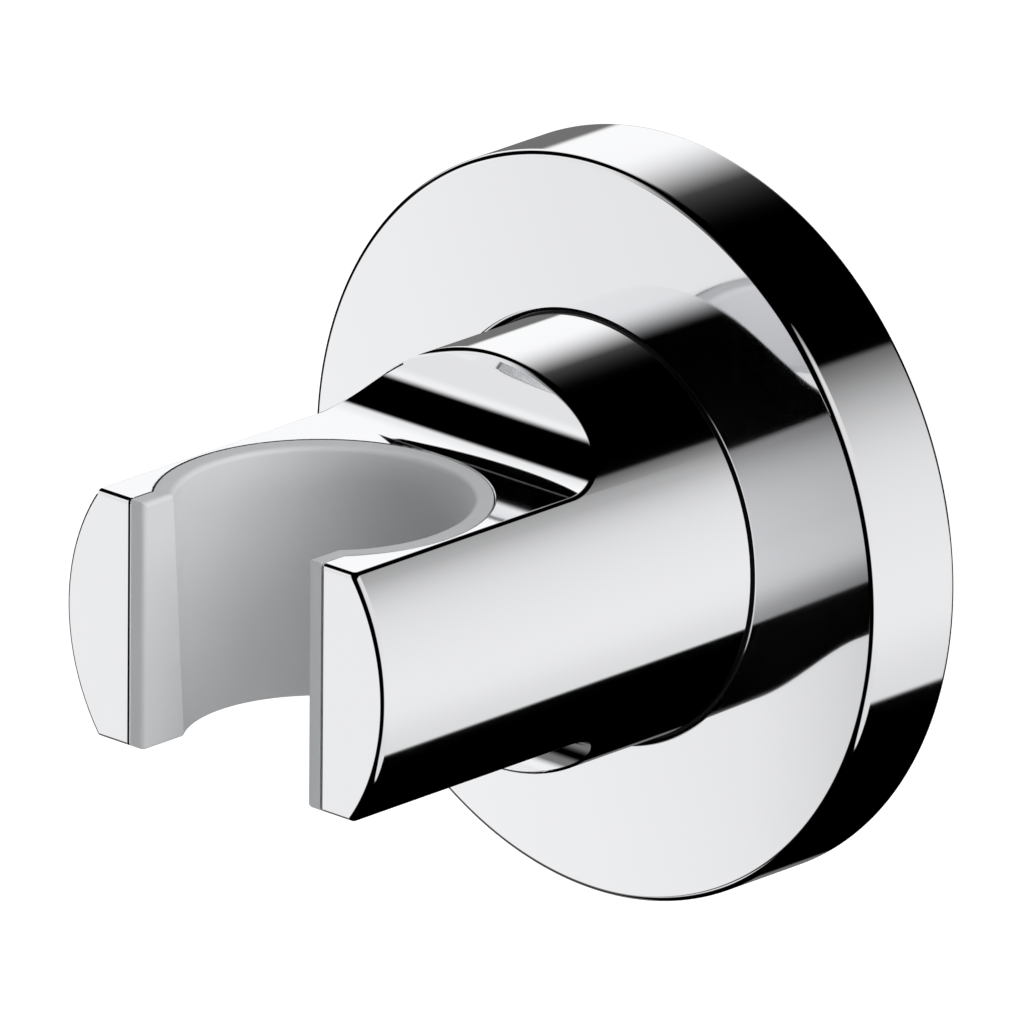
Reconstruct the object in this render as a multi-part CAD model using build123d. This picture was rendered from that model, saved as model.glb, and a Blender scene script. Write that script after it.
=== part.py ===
from build123d import *
import os

# A wall holder for a hand shower.
# The wall is the plane y = 0, the holder stands out along -Y, and the cone of the handset drops
# in from above, along -Z. The origin is the middle of the holder's back, on the wall.
# A round head leaves the wall through a round cover. Its front is milled flat above and below
# with a coved shoulder, and an upright keyhole bore opens it to the front as a fork.
# A tapered plastic liner snaps into the bore. Behind the cover the head is pushed over the boss
# of a wall plate, and a grub screw from below clamps it there. All sizes are in millimetres.

# Head, with the fork's length measured back from its front face
projection = 50.0
head_r = 17.0
fork_length = 29.8
fork_half = 10.12
cove_r = 5.7
head_edge_round = 0.3
bore_edge_round = 0.12
rear_chamfer = 0.4

# Keyhole bore in the head, its axis set back from the front face
bore_setback = 10.75
bore_r = 13.2
slot_half = 10.25

# Liner in the bore
liner_gap = 0.1
liner_wall_top = 1.55
liner_wall_low = 2.35
lip_wall = 1.4
liner_edge_round = 0.45
liner_low_round = 0.3
bead_half_height = 1.5
bead_proud = 0.4

# Wall plate and its boss
plate_thickness = 2.5
boss_r = 11.0
boss_length = 13.5
boss_chamfer = 0.8
socket_fit = 0.05
socket_end_room = 0.4
wall_screw_spacing = 45.0
wall_screw_hole_r = 2.6
wall_screw_sink_r = 4.6
plate_chamfer = 0.4

# Grub screw under the head, hidden by the cover
grub_r = 2.0
grub_depth = 5.1
grub_fit = 0.04
grub_below_surface = 0.4
grub_point_length = 1.0
grub_point_end_r = 1.0
grub_hex_across = 2.0
grub_hex_depth = 2.2
grub_end_chamfer = 0.3

# Round cover, and the ring that holds it on the head
cover_r = 30.0
cover_depth = 9.2
cover_crown = 0.3
cover_front_wall = 1.8
cover_skirt_wall = 1.6
cover_hole_gap = 0.25
cover_edge_round = 0.55
cover_hole_round = 0.4
cover_inner_round = 1.0
cover_plate_gap = 0.3
ring_section_r = 0.6
ring_touch = 0.02
ring_groove_room = 0.05

# How far a cutting shape runs past what it cuts, and the difference that counts as none
past = 5.0
near = 0.01

# Worked out from the sizes above
shoulder_depth = projection - fork_length
bore_depth = projection - bore_setback
socket_r = boss_r + socket_fit
boss_end = plate_thickness + boss_length
liner_r = bore_r - liner_gap
lip_half = slot_half - liner_gap
mouth_half = lip_half - lip_wall
seat_top_r = liner_r - liner_wall_top
seat_low_r = liner_r - liner_wall_low
cover_hole_r = head_r + cover_hole_gap
cover_inner_r = cover_r - cover_skirt_wall
cover_inner_depth = cover_depth - cover_front_wall
ring_r = cover_hole_r - ring_touch - ring_section_r
ring_depth = cover_depth - cover_front_wall / 2
plate_r = cover_inner_r - cover_plate_gap
grub_tip = boss_r - grub_point_length
grub_length = head_r - grub_below_surface - grub_tip


def turned(*points):
    """Solid turned about the Y axis from a closed outline of (radius, y) points."""
    return revolve(make_face(Polyline(*points, close=True)), Axis.Y)


def from_bore_axis(point):
    """Distance of a point from the upright axis of the bore."""
    return (point.X ** 2 + (point.Y + bore_depth) ** 2) ** 0.5


def upright(plan, low, high):
    """Outline in plan, raised from one height to another."""
    return extrude(Pos(0, 0, low) * plan, high - low)


def keyhole(radius, half_width, front_depth):
    """Plan of a round bore with a slot forward to the given depth, and nothing ahead of that."""
    middle_depth = (bore_depth + front_depth) / 2
    slot = Pos(0, -middle_depth) * Rectangle(2 * half_width, front_depth - bore_depth)
    ahead = Pos(0, -front_depth - radius) * Rectangle(2 * radius, 2 * radius)
    return Pos(0, -bore_depth) * Circle(radius) + slot - ahead


def turned_head():
    """Round bar with a socket for the boss, a chamfered rear end and a groove for the ring."""
    groove_half = ring_section_r + ring_groove_room
    groove_r = ring_r - groove_half
    socket_end = boss_end + socket_end_room
    return turned(
        (0, -socket_end),
        (socket_r, -socket_end),
        (socket_r, -plate_thickness),
        (head_r - rear_chamfer, -plate_thickness),
        (head_r, -plate_thickness - rear_chamfer),
        (head_r, -ring_depth + groove_half),
        (groove_r, -ring_depth + groove_half),
        (groove_r, -ring_depth - groove_half),
        (head_r, -ring_depth - groove_half),
        (head_r, -projection),
        (0, -projection),
    )


def milled_away():
    """What the cutter takes off above the fork: a flat that ends in a coved shoulder."""
    cove_start = (-shoulder_depth - cove_r, fork_half)
    cove_end = (-shoulder_depth, fork_half + cove_r)
    far = -projection - past
    top = head_r + past
    outline = make_face([
        Line((far, fork_half), cove_start),
        RadiusArc(cove_start, cove_end, -cove_r),
        Line(cove_end, (-shoulder_depth, top)),
        Line((-shoulder_depth, top), (far, top)),
        Line((far, top), (far, fork_half)),
    ])
    return extrude(Plane.YZ * outline, top, both=True)


def fork_edges(bar):
    """Sharp outer edges of the milled bar, from the shoulders forward."""
    picked = []
    for edge in bar.edges():
        middle = edge.position_at(0.5)
        forward = middle.Y < -shoulder_depth + near
        on_side = abs(middle.X) > near and abs(middle.Z) > near
        on_shoulder = abs(middle.Z) > head_r - near
        on_front = middle.Y < -projection + near
        if forward and (on_side or on_shoulder or on_front):
            picked.append(edge)
    return picked


def bore_edges(fork):
    """Edges where the keyhole meets the flats and the front face."""
    picked = []
    for edge in fork.edges():
        middle = edge.position_at(0.5)
        on_bore = abs(from_bore_axis(middle) - bore_r) < near
        on_slot = abs(abs(middle.X) - slot_half) < near
        if on_bore != on_slot:
            picked.append(edge)
    return picked


def snap_bead(gap):
    """Low ridge round the back half of the liner, or with a gap, the groove that takes it."""
    root_r = liner_r - bead_proud
    crest_r = liner_r + bead_proud + gap
    half = bead_half_height + gap
    crest_half = half - (crest_r - root_r) / 2
    outline = make_face(Polyline(
        (root_r, -half), (crest_r, -crest_half), (crest_r, crest_half), (root_r, half), close=True))
    return Pos(0, -bore_depth) * revolve(Plane.XZ * outline, Axis.Z, 180)


def grub_hole():
    """Hole for the grub screw, from below through the wall of the socket."""
    middle_r = (head_r + past + grub_tip) / 2
    return Pos(0, -grub_depth, -middle_r) * Cylinder(grub_r + grub_fit, head_r + past - grub_tip)


def holder_head():
    """Head with its coved flats and its fork, all outer edges rounded."""
    milled = milled_away()
    bar = turned_head() - milled - mirror(milled, Plane.XY)
    bar = fillet(fork_edges(bar), head_edge_round)
    reach = fork_half + past
    fork = bar - upright(keyhole(bore_r, slot_half, projection + past), -reach, reach)
    fork = fillet(bore_edges(fork), bore_edge_round)
    return fork - snap_bead(liner_gap) - grub_hole()


def seat_taper():
    """Taper that the handset's cone sits in, run past both faces of the fork."""
    slope = (seat_top_r - seat_low_r) / (2 * fork_half)
    reach = fork_half + past
    taper = Cone(seat_low_r - slope * past, seat_top_r + slope * past, 2 * reach)
    return Pos(0, -bore_depth) * taper


def liner_edges(liner, level):
    """Edges of the mouth and the taper that the handset slides over, at one level."""
    picked = []
    for edge in liner.edges():
        middle = edge.position_at(0.5)
        on_mouth = abs(abs(middle.X) - mouth_half) < near
        on_seat = from_bore_axis(middle) < seat_top_r + near
        if abs(middle.Z - level) < near and (on_mouth or on_seat):
            picked.append(edge)
    return picked


def lip_edges(liner):
    """Upright front edges of the two lips, at the mouth."""
    picked = []
    for edge in liner.edges():
        middle = edge.position_at(0.5)
        on_mouth = abs(abs(middle.X) - mouth_half) < near
        if on_mouth and abs(middle.Y + projection) < near:
            picked.append(edge)
    return picked


def seat_liner():
    """Liner of the keyhole, with a tapered seat, rounded edges and a snap bead at the back."""
    body = upright(keyhole(liner_r, lip_half, projection), -fork_half, fork_half)
    body += snap_bead(0)
    middle_depth = (bore_depth + projection + past) / 2
    mouth = Pos(0, -middle_depth) * Box(
        2 * mouth_half, projection + past - bore_depth, 2 * (fork_half + past))
    liner = body - seat_taper() - mouth
    liner = fillet(liner_edges(liner, fork_half) + lip_edges(liner), liner_edge_round)
    return fillet(liner_edges(liner, -fork_half), liner_low_round)


def wall_plate():
    """Round plate with two countersunk screw holes and a boss for the head."""
    plate = turned(
        (0, 0),
        (plate_r, 0),
        (plate_r, -plate_thickness + plate_chamfer),
        (plate_r - plate_chamfer, -plate_thickness),
        (boss_r, -plate_thickness),
        (boss_r, -boss_end + boss_chamfer),
        (boss_r - boss_chamfer, -boss_end),
        (0, -boss_end),
    )
    sink_depth = wall_screw_sink_r - wall_screw_hole_r
    hole = turned(
        (0, past),
        (wall_screw_hole_r, past),
        (wall_screw_hole_r, -plate_thickness + sink_depth),
        (wall_screw_sink_r, -plate_thickness),
        (wall_screw_sink_r, -plate_thickness - past),
        (0, -plate_thickness - past),
    )
    for side in (-1, 1):
        plate -= Pos(side * wall_screw_spacing / 2, 0, 0) * hole
    return plate - grub_body(grub_fit)


def grub_body(extra):
    """Outside of the grub screw, pointing up at the boss, with a gap added all round."""
    outline = make_face(Polyline(
        (0, -grub_tip + extra),
        (grub_point_end_r + extra, -grub_tip + extra),
        (grub_r + extra, -boss_r),
        (grub_r + extra, -grub_tip - grub_length),
        (0, -grub_tip - grub_length),
        close=True))
    return Pos(0, -grub_depth) * revolve(Plane.XZ * outline, Axis.Z)


def head_grub_screw():
    """Grub screw with a cone point and a hexagon socket in its lower end."""
    screw = grub_body(0)
    low_rim = screw.edges().filter_by(GeomType.CIRCLE).sort_by(Axis.Z)[0]
    screw = chamfer(low_rim, grub_end_chamfer)
    hexagon = RegularPolygon(grub_hex_across / 2, 6, major_radius=False)
    socket = extrude(Pos(0, -grub_depth, -grub_tip - grub_length) * hexagon, grub_hex_depth)
    return screw - socket


def rims(cup, radius, y):
    """Round edges of one radius at one place along the Y axis."""
    circles = cup.edges().filter_by(GeomType.CIRCLE)
    return [edge for edge in circles
            if abs(edge.radius - radius) < near and abs(edge.arc_center.Y - y) < near]


def face_depth(radius):
    """Depth of the cover's slightly crowned face at one radius."""
    return cover_depth + cover_crown * (1 - (radius / cover_r) ** 2)


def wall_cover():
    """Cup-shaped cover with a hole for the head, its rim resting on the wall."""
    middle_r = (cover_hole_r + cover_r) / 2
    face = ThreePointArc(
        (cover_r, -cover_depth),
        (middle_r, -face_depth(middle_r)),
        (cover_hole_r, -face_depth(cover_hole_r)))
    inside = Polyline(
        (cover_hole_r, -face_depth(cover_hole_r)),
        (cover_hole_r, -cover_inner_depth),
        (cover_inner_r, -cover_inner_depth),
        (cover_inner_r, 0),
        (cover_r, 0),
        (cover_r, -cover_depth))
    cup = revolve(make_face([face, inside]), Axis.Y)
    cup = fillet(rims(cup, cover_hole_r, -face_depth(cover_hole_r)), cover_hole_round)
    cup = fillet(rims(cup, cover_r, -cover_depth), cover_edge_round)
    return fillet(rims(cup, cover_inner_r, -cover_inner_depth), cover_inner_round)


def cover_ring():
    """Rubber ring in the head's groove, which grips the hole of the cover."""
    ring = Torus(ring_r, ring_section_r)
    return Pos(0, -ring_depth, 0) * Rot(90, 0, 0) * ring


def main():
    os.makedirs("parts", exist_ok=True)
    nodes = {
        "holder_head": holder_head(),
        "seat_liner": seat_liner(),
        "wall_cover": wall_cover(),
        "cover_ring": cover_ring(),
        "wall_plate": wall_plate(),
        "head_grub_screw": head_grub_screw(),
    }
    for name, solid in nodes.items():
        export_step(solid, "parts/" + name + ".step")


main()
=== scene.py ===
import math

import bpy
from mathutils import Matrix, Vector


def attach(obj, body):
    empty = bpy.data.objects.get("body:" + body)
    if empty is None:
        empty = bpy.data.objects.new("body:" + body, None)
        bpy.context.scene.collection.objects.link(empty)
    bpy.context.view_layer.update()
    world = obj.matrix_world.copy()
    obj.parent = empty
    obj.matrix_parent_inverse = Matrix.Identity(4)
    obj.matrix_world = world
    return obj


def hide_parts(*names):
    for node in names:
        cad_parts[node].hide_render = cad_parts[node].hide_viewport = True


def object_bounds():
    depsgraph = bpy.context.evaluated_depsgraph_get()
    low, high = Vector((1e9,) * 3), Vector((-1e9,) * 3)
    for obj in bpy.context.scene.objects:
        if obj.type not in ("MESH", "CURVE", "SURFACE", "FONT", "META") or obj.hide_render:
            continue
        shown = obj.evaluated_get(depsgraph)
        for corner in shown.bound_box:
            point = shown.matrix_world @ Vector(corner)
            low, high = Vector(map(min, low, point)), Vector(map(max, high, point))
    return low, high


# A chrome wall holder for a hand shower, on a plain pale floor, in soft studio light.

MM = 0.001

# The view of the photograph: a long lens, from the front right and a little above
CAMERA_LENS = 1500.0
CAMERA_SENSOR = 36.0
CAMERA_AZIMUTH = 43.6507
CAMERA_ELEVATION = 19.8845
CAMERA_ROLL = 0.4335
CAMERA_DISTANCE = 3.28490
CAMERA_TARGET = Vector((6.443, -25.0, 6.933)) * MM
CAMERA_CLIP = (0.1, 20.0)

# The cover, turned finely enough to mirror its surroundings cleanly, in millimetres
COVER_R = 30.0
COVER_DEPTH = 9.2
COVER_CROWN = 0.3
COVER_HOLE_R = 17.25
COVER_EDGE_ROUND = 0.55
COVER_HOLE_ROUND = 0.4
COVER_BACK_ROUND = 0.55
COVER_INNER_R = 28.4
COVER_INNER_DEPTH = 7.4
COVER_INNER_ROUND = 1.0

# Steps once round the cover, over its front edge, over the edge of its hole, and over the rest
COVER_SIDES = 720
EDGE_STEPS = 16
HOLE_STEPS = 14
OTHER_STEPS = 8

# The head, for the softly broken look of its outer edges, in millimetres
HEAD_R = 17.0
HEAD_FRONT = 50.0
HEAD_SHOULDER = 20.2
HEAD_COVE_R = 5.7
HEAD_FLAT = 10.12
HEAD_SLOT = 10.25
HEAD_SLOT_ROUND = 0.22
HEAD_EDGE_ROUND = 0.50
HEAD_LEAST_ROUND = 0.02

# Where the head's side has its softer edges: how much each of x and z counts, and the fade
SOFTER_X = 0.9
SOFTER_Z = 0.45
SOFTER_FADE = (-0.15, 0.25)

# Product of the pulls of two of the head's surfaces, above which a place counts as on an edge
LEAST_PULL = 0.001

# Where the polish begins and where it is full, and with it where the painted shade ends: on the
# head by distance from the wall, on the cover by distance outside its hole and outside the walls
# of its cup, in millimetres
HEAD_POLISH_AND_SHADE = (9.38, 9.40)
HOLE_POLISH_AND_SHADE = (0.17, 0.22)
CUP_POLISH_AND_SHADE = (0.1, 0.2)

# The floor lies well below the holder, which hangs on a wall
FLOOR_DROP = 0.15
FLOOR_RADIUS = 6.0
FLOOR_SIDES = 96
FLOOR_COLOR = (0.85, 0.85, 0.85, 1.0)
FLOOR_GLOW = 0.40

# Finishes
CHROME_COLOR = (0.930, 0.934, 0.950, 1.0)
CHROME_PALE = (0.945, 0.948, 0.962, 1.0)
CHROME_ROUGH = 0.04
CHROME_HAZE = 0.06
# Painted shade, near black, on the dull chrome inside the cover where the gap round the head shows
# it
PAINTED_SHADE_COLOR = (0.003, 0.003, 0.003, 1.0)
UNPOLISHED_ROUGH = 0.6
LINER_COLOR = (0.48, 0.488, 0.50, 1.0)
LINER_PALE = (0.52, 0.528, 0.54, 1.0)
LINER_ROUGH = (0.42, 0.55)
RUBBER_COLOR = (0.012, 0.012, 0.013, 1.0)
RUBBER_ROUGH = (0.5, 0.7)
PLATE_COLOR = (0.60, 0.60, 0.59, 1.0)
PLATE_LINES = 0.0004
SCREW_COLOR = (0.42, 0.42, 0.43, 1.0)
SCREW_LINES = 0.0003
TURNED_ROUGH = (0.3, 0.42)

# Plain soft light on what doesn't shine: all round, and from broad lamps with the direction
# towards each, the level to which it lights a white surface, and its spread in degrees
SKY_LEVEL = 0.04
LAMPS = {
    "lamp_right": ((0.798, 0.184, 0.574), 0.92, 60.0),
    "lamp_front": ((0.936, -0.341, -0.087), 0.72, 30.0),
    "lamp_left": ((-0.819, -0.574, 0.0), 0.55, 40.0),
    "lamp_above": ((0.0, -0.105, 0.995), 0.22, 60.0),
}

# The studio as the chrome mirrors it. A direction has an x to the right, a y to the back and a z
# upward. Most pairs say where along one of them a box of light is still out and where it is full.
# A pair of levels belongs to the two ends of the pair named before it.
HORIZON = (0.02, 0.085)

# Back left box, above the horizon, with a faint tail towards the top
BACK_BOX_EDGE = (0.13, 0.24)
BACK_BOX_TOP = (-0.33, -0.63)
BACK_BOX_TAIL = (-0.12, -0.37)
BACK_BOX_TAIL_LEVEL = 0.05
BACK_BOX_SPAN = (0.2, 0.5)
BACK_BOX_LEVELS = (0.86, 1.0)

# Front left box, above the horizon and, with an edge that leans inward, below it
FRONT_BOX_EDGE = (-0.54, -0.63)
FRONT_BOX_TOP = (-0.37, -0.66)
FRONT_BOX_SPAN = (-0.64, -0.72)
FRONT_BOX_LEVELS = (0.93, 0.81)
LOW_BOX_EDGE = (-0.42, -0.60)
LOW_BOX_SIDE = (-0.575, -0.63)
LOW_BOX_LEAN = (-0.56, -0.66)
LOW_BOX_LEAN_BY = 0.22

# Greys on the left, below the horizon, some of them only deep below it
DEEP = (-0.44, -0.56)
BACK_GREY_SIDE = (-0.52, -0.56)
BACK_GREY_EDGE = (0.42, 0.60)
BACK_GREY_DEEP_EDGE = (-0.08, 0.25)
BACK_GREY_LEVEL = 0.17
FRONT_GREY_SIDE = (-0.44, -0.60)
FRONT_GREY_LEVEL = 0.12
DEEP_GREY_SIDE = (-0.56, -0.62)
DEEP_GREY_EDGE = (-0.20, -0.38)
DEEP_GREY_LEVEL = 0.19

# Right box. Its top edge slants with y and its foot is where z + slope * x runs out.
RIGHT_BOX_TOP = (0.488, 0.510)
RIGHT_BOX_TOP_SLANT = 0.047
RIGHT_BOX_FADE = (0.41, 0.73)
RIGHT_BOX_FADE_LEVELS = (0.10, 1.0)
RIGHT_BOX_SIDE = (0.37, 0.40)
RIGHT_BOX_FOOT = (-0.025, 0.02)
RIGHT_BOX_FOOT_SLOPE = 1.47
RIGHT_BOX_LOW_TO_HIGH = (-0.2, -0.1)
RIGHT_BOX_LOW = (-0.35, -0.62)
RIGHT_BOX_LOW_LEVELS = (0.87, 0.75)
RIGHT_BOX_HIGH = (-0.25, 0.45)
RIGHT_BOX_HIGH_LEVEL = 0.76
RIGHT_BOX_FRONT = (-0.80, -0.655)
RIGHT_BOX_LOW_SHIFT = 0.04


class Nodes:
    """Short way to write a node tree: each call adds a node and gives back its output."""

    def __init__(self, tree):
        self.tree = tree

    def add(self, kind, **values):
        node = self.tree.nodes.new(kind)
        for name, value in values.items():
            setattr(node, name, value)
        return node

    def plug(self, socket, value):
        if isinstance(value, bpy.types.NodeSocket):
            self.tree.links.new(value, socket)
        else:
            socket.default_value = value

    def math(self, operation, *values):
        node = self.add("ShaderNodeMath", operation=operation)
        for socket, value in zip(node.inputs, values):
            self.plug(socket, value)
        return node.outputs[0]

    def plus(self, first, second):
        return self.math("ADD", first, second)

    def minus(self, first, second):
        return self.math("SUBTRACT", first, second)

    def larger(self, first, second):
        return self.math("MAXIMUM", first, second)

    def size_of(self, value):
        return self.math("ABSOLUTE", value)

    def times(self, first, *others):
        for other in others:
            first = self.math("MULTIPLY", first, other)
        return first

    def length(self, first, second):
        squares = self.plus(self.times(first, first), self.times(second, second))
        return self.math("SQRT", squares)

    def ramp(self, value, zero, one, kind="SMOOTHSTEP"):
        """0 at one end and 1 at the other, with a smooth or a straight rise."""
        node = self.add("ShaderNodeMapRange", interpolation_type=kind)
        node.clamp = True
        self.plug(node.inputs["Value"], value)
        self.plug(node.inputs["From Min"], zero)
        self.plug(node.inputs["From Max"], one)
        return node.outputs["Result"]

    def blend(self, factor, first, second):
        """first where factor is 0, second where it is 1."""
        return self.plus(first, self.times(factor, self.minus(second, first)))

    def noise(self, vector, scale, detail=2.0, roughness=0.5):
        node = self.add("ShaderNodeTexNoise")
        self.plug(node.inputs["Vector"], vector)
        self.plug(node.inputs["Scale"], scale)
        self.plug(node.inputs["Detail"], detail)
        self.plug(node.inputs["Roughness"], roughness)
        return node.outputs["Fac"]

    def apart(self, vector):
        node = self.add("ShaderNodeSeparateXYZ")
        self.plug(node.inputs[0], vector)
        return node.outputs[0], node.outputs[1], node.outputs[2]

    def together(self, *values):
        node = self.add("ShaderNodeCombineXYZ")
        for socket, value in zip(node.inputs, values):
            self.plug(socket, value)
        return node.outputs[0]

    def bump(self, height, strength, distance):
        node = self.add("ShaderNodeBump")
        self.plug(node.inputs["Height"], height)
        self.plug(node.inputs["Strength"], strength)
        self.plug(node.inputs["Distance"], distance)
        return node.outputs["Normal"]

    def colours(self, factor, first, second):
        node = self.add("ShaderNodeMix", data_type="RGBA")
        self.plug(node.inputs["Factor"], factor)
        self.plug(node.inputs[6], first)
        self.plug(node.inputs[7], second)
        return node.outputs[2]


def surface(name, color, metallic, roughness, normal=None):
    """Principled material whose colour, roughness and normal may each come from nodes."""
    material = bpy.data.materials.new(name)
    material.use_nodes = True
    tree = material.node_tree
    nodes = Nodes(tree)
    shader = tree.nodes["Principled BSDF"]
    shader.inputs["Metallic"].default_value = metallic
    for socket, make in (("Base Color", color), ("Roughness", roughness), ("Normal", normal)):
        if make is not None:
            nodes.plug(shader.inputs[socket], make(nodes) if callable(make) else make)
    return material


def place(nodes):
    """Place on the object, in metres, in the frame that all the pieces share."""
    return nodes.add("ShaderNodeTexCoord").outputs["Object"]


def wall_distance(nodes):
    """Distance in front of the wall plane, in metres."""
    return nodes.times(nodes.apart(place(nodes))[1], -1.0)


def axis_radius(nodes):
    """Distance from the head's axis, in metres."""
    x, y, z = nodes.apart(place(nodes))
    return nodes.length(x, z)


def beyond(nodes, distance, start, fade):
    """0 to 1 over a fade that is counted from a start, both in millimetres."""
    return nodes.ramp(distance, (start + fade[0]) * MM, (start + fade[1]) * MM)


def chrome(name, polish_vs_painted_shade, normal=None):
    """Mirror chrome with a trace of polishing haze where its mask gives 1, dull and painted near
    black as shade where it gives 0."""
    def haze(nodes):
        cloud = nodes.ramp(nodes.noise(place(nodes), scale=60.0, detail=3.0), 0.35, 0.75)
        mirror = nodes.blend(cloud, CHROME_ROUGH, CHROME_HAZE)
        return nodes.blend(polish_vs_painted_shade(nodes), UNPOLISHED_ROUGH, mirror)

    def tint(nodes):
        cloud = nodes.noise(place(nodes), scale=25.0)
        bright = nodes.colours(cloud, CHROME_COLOR, CHROME_PALE)
        # Painted shade: near black where the mask gives 0, standing in for the shade in the gap
        # round the head
        return nodes.colours(polish_vs_painted_shade(nodes), PAINTED_SHADE_COLOR, bright)

    return surface(name, tint, 1.0, haze, normal)


def head_normals(nodes):
    """Normals that turn evenly over the head's outer edges, in one round a little wider than
    the frame's. Each outer surface pulls fully at its own normals, and less the deeper a place
    lies below it. A blunter edge, as along the flats, has a narrower round, and the edges on
    the left and below keep the frame's own rounds."""
    x, y, z = nodes.apart(place(nodes))
    radius = nodes.length(x, z)
    edge_round = HEAD_EDGE_ROUND * MM

    def pull(height, width):
        """1 on the surface, 0 from one width below it."""
        return nodes.larger(nodes.plus(nodes.math("DIVIDE", height, width), 1.0), 0.0)

    # How far a place lies behind and below the axis of the cove, and its distance from it
    behind = nodes.larger(nodes.plus(y, (HEAD_SHOULDER + HEAD_COVE_R) * MM), 0.0)
    below = nodes.larger(
        nodes.minus((HEAD_FLAT + HEAD_COVE_R) * MM, nodes.size_of(z)), 0.0)
    reach = nodes.length(behind, below)

    front = pull(nodes.minus(-HEAD_FRONT * MM, y), edge_round)
    upright = nodes.math("DIVIDE", nodes.size_of(z), radius)
    blunt = nodes.times(upright, nodes.math("DIVIDE", below, reach), nodes.minus(1.0, front))
    width = nodes.larger(nodes.times(nodes.minus(1.0, blunt), edge_round), HEAD_LEAST_ROUND * MM)
    upper_right = nodes.math(
        "DIVIDE", nodes.plus(nodes.times(x, SOFTER_X), nodes.times(z, SOFTER_Z)), radius)
    side = nodes.times(
        pull(nodes.minus(radius, HEAD_R * MM), width), nodes.ramp(upper_right, *SOFTER_FADE))
    milled = nodes.times(
        pull(nodes.minus(HEAD_COVE_R * MM, reach), width), nodes.math("GREATER_THAN", z, 0.0))
    slot = nodes.times(
        front, pull(nodes.minus(HEAD_SLOT * MM, nodes.size_of(x)), HEAD_SLOT_ROUND * MM))

    to_side = nodes.math("DIVIDE", side, radius)
    to_milled = nodes.math("DIVIDE", milled, reach)
    turned = nodes.together(
        nodes.minus(nodes.times(to_side, x), nodes.times(slot, nodes.math("SIGN", x))),
        nodes.times(nodes.plus(front, nodes.times(to_milled, behind)), -1.0),
        nodes.plus(nodes.times(to_side, z), nodes.times(to_milled, below, nodes.math("SIGN", z))))
    in_world = nodes.add("ShaderNodeVectorTransform", vector_type="VECTOR",
                         convert_from="OBJECT", convert_to="WORLD")
    nodes.plug(in_world.inputs[0], turned)

    pairs = nodes.plus(nodes.times(front, nodes.plus(side, slot)),
                       nodes.times(milled, nodes.plus(front, side)))
    mix = nodes.add("ShaderNodeMix", data_type="VECTOR")
    nodes.plug(mix.inputs["Factor"], nodes.math("GREATER_THAN", pairs, LEAST_PULL))
    nodes.plug(mix.inputs[4], nodes.add("ShaderNodeNewGeometry").outputs["Normal"])
    nodes.plug(mix.inputs[5], in_world.outputs[0])
    unit = nodes.add("ShaderNodeVectorMath", operation="NORMALIZE")
    nodes.plug(unit.inputs[0], mix.outputs[1])
    return unit.outputs[0]


def head_chrome():
    """Polished in front of the cover, dull and painted near black as shade inside it, with softly
    broken edges.
    """
    def polish_vs_painted_shade(nodes):
        return beyond(nodes, wall_distance(nodes), 0.0, HEAD_POLISH_AND_SHADE)

    return chrome("polished_chrome", polish_vs_painted_shade, head_normals)


def cover_chrome():
    """Polished outside and on the edge of the hole, dull and painted near black as shade inside
    the hole and the cup.
    """
    def polish_vs_painted_shade(nodes):
        radius = axis_radius(nodes)
        past_hole = beyond(nodes, radius, COVER_HOLE_R, HOLE_POLISH_AND_SHADE)
        face = beyond(nodes, wall_distance(nodes), COVER_INNER_DEPTH, CUP_POLISH_AND_SHADE)
        rim = beyond(nodes, radius, COVER_INNER_R, CUP_POLISH_AND_SHADE)
        return nodes.times(past_hole, nodes.larger(face, rim))

    return chrome("cover_chrome", polish_vs_painted_shade)


def liner_plastic():
    """Grey moulded plastic with a fine satin grain."""
    def tone(nodes):
        cloud = nodes.noise(place(nodes), scale=180.0, detail=4.0)
        return nodes.colours(cloud, LINER_COLOR, LINER_PALE)

    def gloss(nodes):
        return nodes.blend(nodes.noise(place(nodes), scale=900.0), *LINER_ROUGH)

    def grain(nodes):
        return nodes.bump(nodes.noise(place(nodes), scale=9000.0), strength=0.12, distance=0.00002)

    return surface("liner_plastic", tone, 0.0, gloss, grain)


def rubber():
    """Black rubber with a slightly uneven gloss."""
    def gloss(nodes):
        return nodes.blend(nodes.noise(place(nodes), scale=1500.0), *RUBBER_ROUGH)

    return surface("ring_rubber", RUBBER_COLOR, 0.0, gloss)


def turned_metal(name, color, line_spacing):
    """Dull metal with the fine rings that a lathe tool leaves about the head's axis."""
    def rings(nodes):
        wave = nodes.math("SINE", nodes.times(axis_radius(nodes), 2 * math.pi / line_spacing))
        wander = nodes.noise(place(nodes), scale=400.0)
        return nodes.bump(nodes.times(wave, wander), strength=0.35, distance=0.00001)

    def gloss(nodes):
        return nodes.blend(nodes.noise(place(nodes), scale=300.0, detail=3.0), *TURNED_ROUGH)

    return surface(name, color, 1.0, gloss, rings)


def dress(frame):
    """Gives each piece of the frame its finish, and keeps the inner ones out of mirrors."""
    finishes = {
        "holder_head": head_chrome(),
        "wall_cover": cover_chrome(),
        "seat_liner": liner_plastic(),
        "cover_ring": rubber(),
        "wall_plate": turned_metal("plate_metal", PLATE_COLOR, PLATE_LINES),
        "head_grub_screw": turned_metal("screw_steel", SCREW_COLOR, SCREW_LINES),
    }
    for name, finish in finishes.items():
        slots = frame["nodes"][name].data.materials
        slots.clear()
        slots.append(finish)
    for name in ("cover_ring", "wall_plate", "head_grub_screw"):
        frame["nodes"][name].visible_glossy = False


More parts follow.
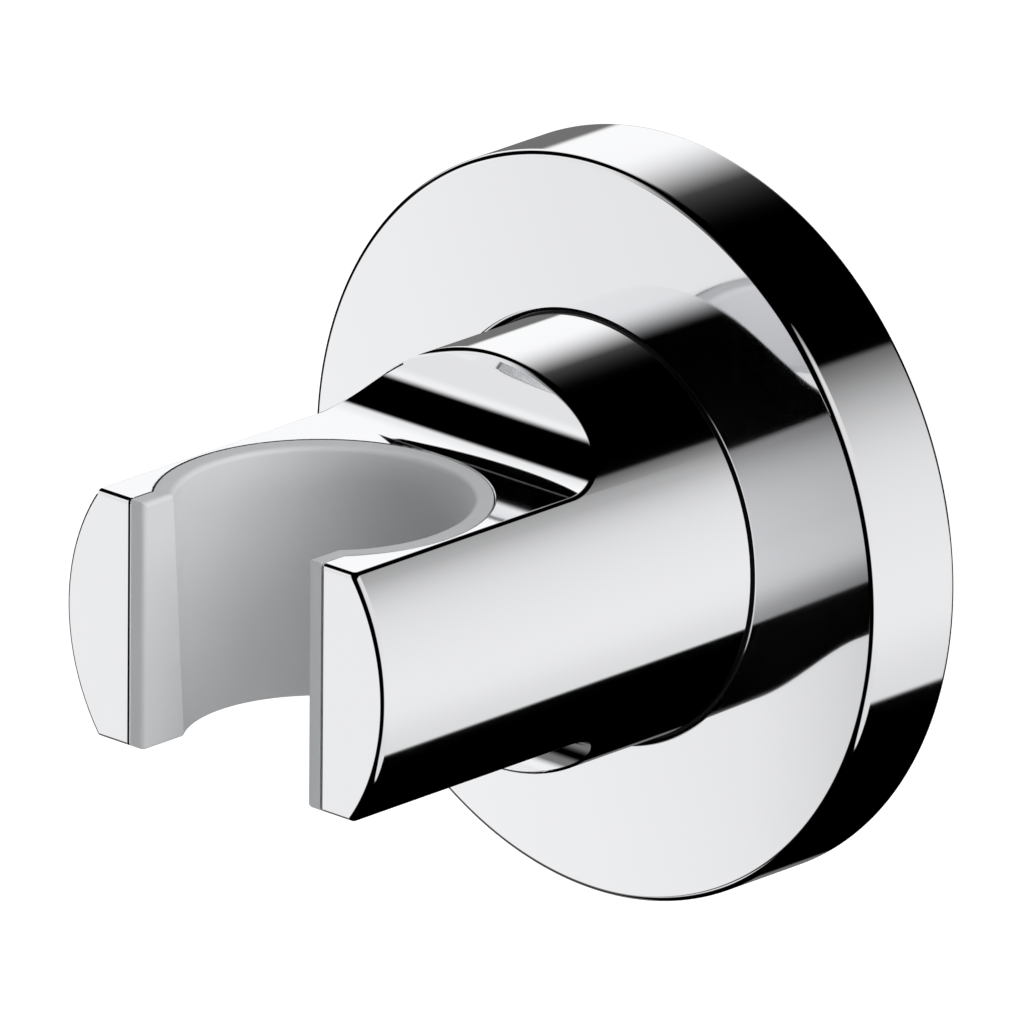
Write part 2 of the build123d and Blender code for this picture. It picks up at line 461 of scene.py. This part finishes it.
def add_camera():
    """Camera at the photograph's view."""
    azimuth = math.radians(CAMERA_AZIMUTH)
    elevation = math.radians(CAMERA_ELEVATION)
    roll = math.radians(CAMERA_ROLL)
    back = Vector((math.sin(azimuth) * math.cos(elevation),
                   -math.cos(azimuth) * math.cos(elevation),
                   math.sin(elevation)))
    level_right = Vector((math.cos(azimuth), math.sin(azimuth), 0.0))
    level_up = back.cross(level_right)
    right = level_right * math.cos(roll) + level_up * math.sin(roll)
    up = back.cross(right)
    data = bpy.data.cameras.new("camera")
    data.lens = CAMERA_LENS
    data.sensor_width = CAMERA_SENSOR
    data.clip_start, data.clip_end = CAMERA_CLIP
    camera = bpy.data.objects.new("camera", data)
    bpy.context.scene.collection.objects.link(camera)
    turn = Matrix((right, up, back)).transposed().to_4x4()
    camera.matrix_world = Matrix.Translation(CAMERA_TARGET + back * CAMERA_DISTANCE) @ turn
    bpy.context.scene.camera = camera


def high_left_lights(nodes, x, y):
    """Two soft boxes above the horizon, front and back, with a dark gap between them. They fade
    off towards the top."""
    tail = nodes.ramp(x, *BACK_BOX_TAIL, "LINEAR")
    faint = nodes.times(tail, tail, tail, BACK_BOX_TAIL_LEVEL)
    level = nodes.blend(nodes.ramp(y, *BACK_BOX_SPAN), *BACK_BOX_LEVELS)
    back = nodes.times(nodes.larger(nodes.ramp(x, *BACK_BOX_TOP), faint),
                       nodes.ramp(y, *BACK_BOX_EDGE), level)
    front = nodes.times(nodes.ramp(x, *FRONT_BOX_TOP), nodes.ramp(y, *FRONT_BOX_EDGE),
                        front_box_level(nodes, y))
    return nodes.larger(back, front)


def low_left_lights(nodes, x, y, z):
    """The front box as it goes on below the horizon, over greys."""
    deep = nodes.ramp(z, *DEEP)
    back_grey = nodes.times(
        nodes.ramp(x, *BACK_GREY_SIDE), BACK_GREY_LEVEL,
        nodes.larger(nodes.ramp(y, *BACK_GREY_EDGE),
                     nodes.times(deep, nodes.ramp(y, *BACK_GREY_DEEP_EDGE))))
    near_front = nodes.ramp(y, *LOW_BOX_EDGE)
    lean = nodes.times(nodes.ramp(z, *LOW_BOX_LEAN), LOW_BOX_LEAN_BY)
    white = nodes.times(nodes.ramp(nodes.minus(x, lean), *LOW_BOX_SIDE), near_front,
                        front_box_level(nodes, y))
    front_grey = nodes.times(nodes.ramp(x, *FRONT_GREY_SIDE), near_front, FRONT_GREY_LEVEL)
    deep_grey = nodes.times(nodes.ramp(x, *DEEP_GREY_SIDE), nodes.ramp(y, *DEEP_GREY_EDGE), deep,
                            DEEP_GREY_LEVEL)
    return nodes.larger(nodes.larger(back_grey, nodes.larger(front_grey, deep_grey)), white)


def front_box_level(nodes, y):
    """Level of the front left box, which drops a little towards the front."""
    return nodes.blend(nodes.ramp(y, *FRONT_BOX_SPAN), *FRONT_BOX_LEVELS)


def right_light(nodes, x, y, z):
    """One large soft box on the right, brightest a little below the horizon, which fades off
    towards the top and the front and ends sharply at the bottom."""
    slanted = nodes.plus(x, nodes.times(y, RIGHT_BOX_TOP_SLANT))
    high = nodes.times(nodes.ramp(slanted, *RIGHT_BOX_TOP),
                       nodes.blend(nodes.ramp(x, *RIGHT_BOX_FADE), *RIGHT_BOX_FADE_LEVELS))
    foot = nodes.plus(z, nodes.times(x, RIGHT_BOX_FOOT_SLOPE))
    low = nodes.times(nodes.ramp(x, *RIGHT_BOX_SIDE), nodes.ramp(foot, *RIGHT_BOX_FOOT))
    edge = nodes.blend(nodes.ramp(z, *RIGHT_BOX_LOW_TO_HIGH), low, high)
    lowness = nodes.ramp(z, *RIGHT_BOX_LOW)
    low_level = nodes.blend(lowness, *RIGHT_BOX_LOW_LEVELS)
    level = nodes.blend(nodes.ramp(z, *RIGHT_BOX_HIGH), low_level, RIGHT_BOX_HIGH_LEVEL)
    shift = nodes.times(lowness, RIGHT_BOX_LOW_SHIFT)
    front = nodes.ramp(nodes.minus(y, shift), *RIGHT_BOX_FRONT)
    return nodes.times(edge, level, front)


def add_world():
    """White behind the holder for the camera, soft boxes with dark gaps between them for what
    shines, and plain soft light for the rest."""
    world = bpy.data.worlds.new("studio")
    world.use_nodes = True
    bpy.context.scene.world = world
    tree = world.node_tree
    tree.nodes.clear()
    nodes = Nodes(tree)
    x, y, z = nodes.apart(nodes.add("ShaderNodeTexCoord").outputs["Generated"])
    path = nodes.add("ShaderNodeLightPath").outputs

    def background(strength):
        shader = nodes.add("ShaderNodeBackground")
        shader.inputs["Color"].default_value = (1.0, 1.0, 1.0, 1.0)
        nodes.plug(shader.inputs["Strength"], strength)
        return shader.outputs[0]

    def choose(factor, first, second):
        mix = nodes.add("ShaderNodeMixShader")
        for socket, value in zip(mix.inputs, (factor, first, second)):
            nodes.plug(socket, value)
        return mix.outputs[0]

    left = nodes.blend(nodes.ramp(z, *HORIZON), low_left_lights(nodes, x, y, z),
                       high_left_lights(nodes, x, y))
    boxes = nodes.larger(left, right_light(nodes, x, y, z))
    shining = nodes.larger(path["Is Glossy Ray"], path["Is Transmission Ray"])
    room = choose(shining, background(SKY_LEVEL), background(boxes))
    output = nodes.add("ShaderNodeOutputWorld")
    nodes.plug(output.inputs[0], choose(path["Is Camera Ray"], room, background(1.0)))


def add_floor(low_z):
    """Pale round floor that keeps the holder's shadow. From below it is clear."""
    turns = [2 * math.pi * side / FLOOR_SIDES for side in range(FLOOR_SIDES)]
    ring = [(FLOOR_RADIUS * math.cos(turn), FLOOR_RADIUS * math.sin(turn), 0.0) for turn in turns]
    mesh = bpy.data.meshes.new("floor")
    mesh.from_pydata(ring, [], [list(range(FLOOR_SIDES))])
    mesh.materials.append(floor_material())
    floor = bpy.data.objects.new("floor", mesh)
    floor.location.z = low_z - FLOOR_DROP
    floor.visible_glossy = False
    bpy.context.scene.collection.objects.link(floor)


def floor_material():
    """Matt and pale, with a little glow for the camera alone."""
    material = bpy.data.materials.new("floor")
    material.use_nodes = True
    tree = material.node_tree
    tree.nodes.clear()
    nodes = Nodes(tree)
    matt = nodes.add("ShaderNodeBsdfDiffuse")
    matt.inputs["Color"].default_value = FLOOR_COLOR
    seen = nodes.add("ShaderNodeLightPath").outputs["Is Camera Ray"]
    glow = nodes.add("ShaderNodeEmission")
    nodes.plug(glow.inputs["Strength"], nodes.times(seen, FLOOR_GLOW))
    both = nodes.add("ShaderNodeAddShader")
    nodes.plug(both.inputs[0], matt.outputs[0])
    nodes.plug(both.inputs[1], glow.outputs[0])
    sides = nodes.add("ShaderNodeMixShader")
    nodes.plug(sides.inputs[0], nodes.add("ShaderNodeNewGeometry").outputs["Backfacing"])
    nodes.plug(sides.inputs[1], both.outputs[0])
    nodes.plug(sides.inputs[2], nodes.add("ShaderNodeBsdfTransparent").outputs[0])
    output = nodes.add("ShaderNodeOutputMaterial")
    nodes.plug(output.inputs[0], sides.outputs[0])
    return material


def add_lamp(name, towards, level, spread):
    """Broad soft lamp far away. A white surface that faces it is lit to the given level."""
    data = bpy.data.lights.new(name, "SUN")
    data.energy = level * math.pi
    data.angle = math.radians(spread)
    lamp = bpy.data.objects.new(name, data)
    lamp.rotation_euler = (-Vector(towards)).to_track_quat("-Z", "Y").to_euler()
    lamp.visible_glossy = False
    bpy.context.scene.collection.objects.link(lamp)


def face_depth(radius):
    """Distance of the cover's crowned face from the wall."""
    return COVER_DEPTH + COVER_CROWN * (1 - (radius / COVER_R) ** 2)


def face_tilt(radius):
    """Angle by which the crowned face leans outward."""
    return math.atan(2 * COVER_CROWN * radius / COVER_R ** 2)


def arc(radius, y, size, first, last, steps):
    """Round about a centre, by angles from straight forward towards outward."""
    points = []
    for step in range(steps + 1):
        angle = first + (last - first) * step / steps
        normal = (math.sin(angle), -math.cos(angle))
        points.append((radius + size * normal[0], y + size * normal[1], normal))
    return points


def straight(start, end, normal):
    """Straight run between two places, with one normal."""
    return [(start[0], start[1], normal), (end[0], end[1], normal)]


def cover_outline():
    """Runs of (radius, y, normal) points round the cover's section, each with smooth normals."""
    quarter = math.pi / 2
    edge_centre = COVER_R - COVER_EDGE_ROUND
    hole_centre = COVER_HOLE_R + COVER_HOLE_ROUND
    edge_y = -face_depth(edge_centre) + COVER_EDGE_ROUND
    hole_y = -face_depth(hole_centre) + COVER_HOLE_ROUND
    edge = arc(edge_centre, edge_y, COVER_EDGE_ROUND, quarter, face_tilt(edge_centre), EDGE_STEPS)
    hole = arc(hole_centre, hole_y, COVER_HOLE_ROUND, face_tilt(hole_centre), -quarter, HOLE_STEPS)
    face = []
    for step in range(OTHER_STEPS + 1):
        radius = edge[-1][0] + (hole[0][0] - edge[-1][0]) * step / OTHER_STEPS
        tilt = face_tilt(radius)
        face.append((radius, -face_depth(radius), (math.sin(tilt), -math.cos(tilt))))
    face[0], face[-1] = edge[-1], hole[0]
    hollow = arc(COVER_INNER_R - COVER_INNER_ROUND, COVER_INNER_ROUND - COVER_INNER_DEPTH,
                 COVER_INNER_ROUND, 0.0, quarter, OTHER_STEPS)
    inner = [(radius, y, (-out, -along)) for radius, y, (out, along) in hollow]
    back = arc(COVER_R - COVER_BACK_ROUND, -COVER_BACK_ROUND, COVER_BACK_ROUND,
               math.pi, quarter, OTHER_STEPS)
    land = (COVER_HOLE_R, -COVER_INNER_DEPTH)
    inner_rim = (COVER_INNER_R, 0.0)
    return [
        straight(back[-1], edge[0], (1.0, 0.0)), edge, face, hole,
        straight(hole[-1], land, (-1.0, 0.0)),
        straight(land, inner[0], (0.0, 1.0)), inner,
        straight(inner[-1], inner_rim, (-1.0, 0.0)),
        straight(inner_rim, back[0], (0.0, 1.0)), back,
    ]


def add_cover():
    """The cover as a finely turned mesh in place of the frame's own."""
    segments = []
    for run in cover_outline():
        segments += list(zip(run, run[1:]))
    turns = [2 * math.pi * side / COVER_SIDES for side in range(COVER_SIDES)]
    places = [(radius * MM * math.cos(turn), y * MM, radius * MM * math.sin(turn))
              for (radius, y, normal), end in segments for turn in turns]
    faces, normals = [], []
    for number, (start, end) in enumerate(segments):
        here = number * COVER_SIDES
        ahead = (number + 1) % len(segments) * COVER_SIDES
        for side in range(COVER_SIDES):
            other = (side + 1) % COVER_SIDES
            faces.append((here + side, here + other, ahead + other, ahead + side))
            for (out, along), turn in ((start[2], turns[side]), (start[2], turns[other]),
                                       (end[2], turns[other]), (end[2], turns[side])):
                normals.append((out * math.cos(turn), along, out * math.sin(turn)))
    mesh = bpy.data.meshes.new("wall_cover_fine")
    mesh.from_pydata(places, [], faces)
    mesh.validate()
    mesh.shade_smooth()
    mesh.normals_split_custom_set(normals)
    mesh.materials.append(cover_chrome())
    cover = bpy.data.objects.new("wall_cover_fine", mesh)
    cover.visible_glossy = False
    bpy.context.scene.collection.objects.link(cover)
    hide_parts("wall_cover")
    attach(cover, "root")


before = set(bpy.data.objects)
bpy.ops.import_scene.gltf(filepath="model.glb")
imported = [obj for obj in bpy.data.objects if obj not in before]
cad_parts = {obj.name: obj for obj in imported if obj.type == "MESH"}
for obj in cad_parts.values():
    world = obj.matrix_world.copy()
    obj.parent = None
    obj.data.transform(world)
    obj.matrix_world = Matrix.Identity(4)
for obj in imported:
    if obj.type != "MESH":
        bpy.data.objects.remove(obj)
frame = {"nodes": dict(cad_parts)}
cad_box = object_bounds()
dress(frame)
add_cover()
add_camera()
add_world()
add_floor(cad_box[0].z)
for name, (towards, level, spread) in LAMPS.items():
    add_lamp(name, towards, level, spread)
bpy.context.scene.view_settings.view_transform = "Standard"
